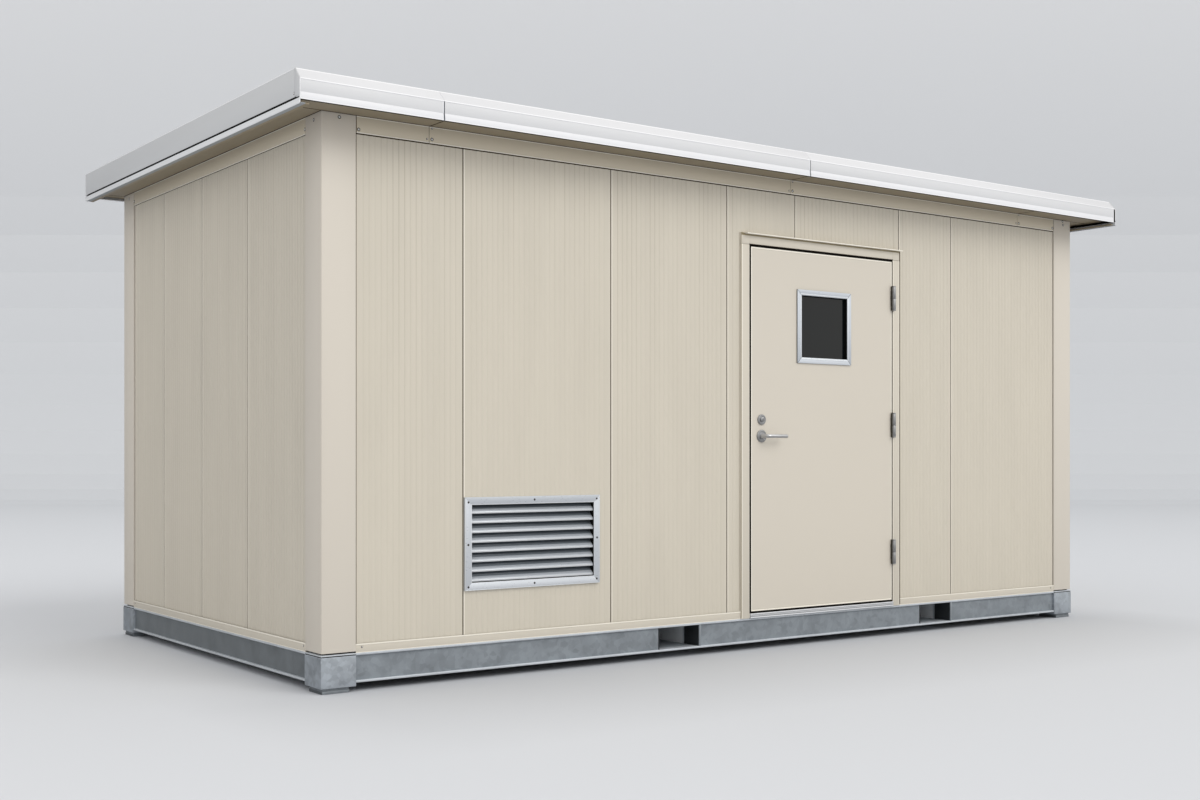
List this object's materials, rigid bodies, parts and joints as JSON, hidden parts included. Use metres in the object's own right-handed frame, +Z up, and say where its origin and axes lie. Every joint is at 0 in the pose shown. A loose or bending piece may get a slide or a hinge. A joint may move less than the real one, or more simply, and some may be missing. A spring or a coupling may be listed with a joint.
{
  "type": "prefabricated substation building",
  "caption": "Beige insulated panel building on a galvanised skid with fork pockets, flat white roof with overhang, outward-opening door with vision panel, and a ventilation louvre.",
  "frame": {"origin": "on the ground, under the middle of the roof's outline", "axes": "+X along the front to the right when facing the door, +Y from the front to the back, +Z up"},
  "size_m": [5.92, 3.107, 2.808],
  "materials": {
    "wall_paint": "satin beige coating",
    "roof_white": "satin white coating",
    "galvanised_steel": "hot-dip galvanised, spangled",
    "stainless_steel": "brushed",
    "aluminium": "satin",
    "floor_plate": "matt grey",
    "dark_filler": "matt black",
    "glass": "clear, dark behind"
  },
  "bodies": {
    "building": {"corner_feet": "galvanised_steel", "corner_blocks": "galvanised_steel", "skid_flanges": "galvanised_steel", "skid_webs": "galvanised_steel", "floor_joists": "galvanised_steel", "fork_pocket_floors": "galvanised_steel", "fork_pocket_sides": "galvanised_steel", "floor_deck": "floor_plate", "post_base_plates": "dark_filler", "corner_posts": "wall_paint", "front_panel_1": "wall_paint", "front_panel_2": "wall_paint", "front_panel_3": "wall_paint", "front_panel_4": "wall_paint", "door_head_panel": "wall_paint", "front_panel_5": "wall_paint", "front_panel_6": "wall_paint", "left_wall_panels": "wall_paint", "right_wall_panels": "wall_paint", "back_wall_panels": "wall_paint", "base_trims": "wall_paint", "top_trims": "wall_paint", "roof_core": "roof_white", "roof_deck": "roof_white", "roof_ribs": "roof_white", "soffit_sheets": "wall_paint", "front_fascia": "roof_white", "back_fascia": "roof_white", "left_fascia": "roof_white", "right_fascia": "roof_white", "side_drip_rails": "roof_white", "door_frame": "wall_paint", "door_hood": "wall_paint", "door_sill": "aluminium", "louvre_frame": "aluminium", "louvre_blades": "aluminium", "frame_hinges": "stainless_steel"},
    "door": {"door_leaf": "wall_paint", "vision_frames": "aluminium", "vision_glass": "glass", "leaf_hinges": "stainless_steel", "lock_roses": "stainless_steel", "lock_cylinder": "stainless_steel"},
    "lever": {"lever_handle": "stainless_steel"}
  },
  "joints": [
    {"name": "door_hinge", "type": "hinge", "parent": "building", "child": "door", "pos_m": [1.011, -1.356, 0.213], "axis": [0, 0, 1], "range_deg": [0, 110]},
    {"name": "lever_turn", "type": "hinge", "parent": "door", "child": "lever", "pos_m": [-0.056, -1.319, 1.205], "axis": [0, 1, 0], "range_deg": [0, 40], "stiffness_Nm_per_rad": 1}
  ]
}
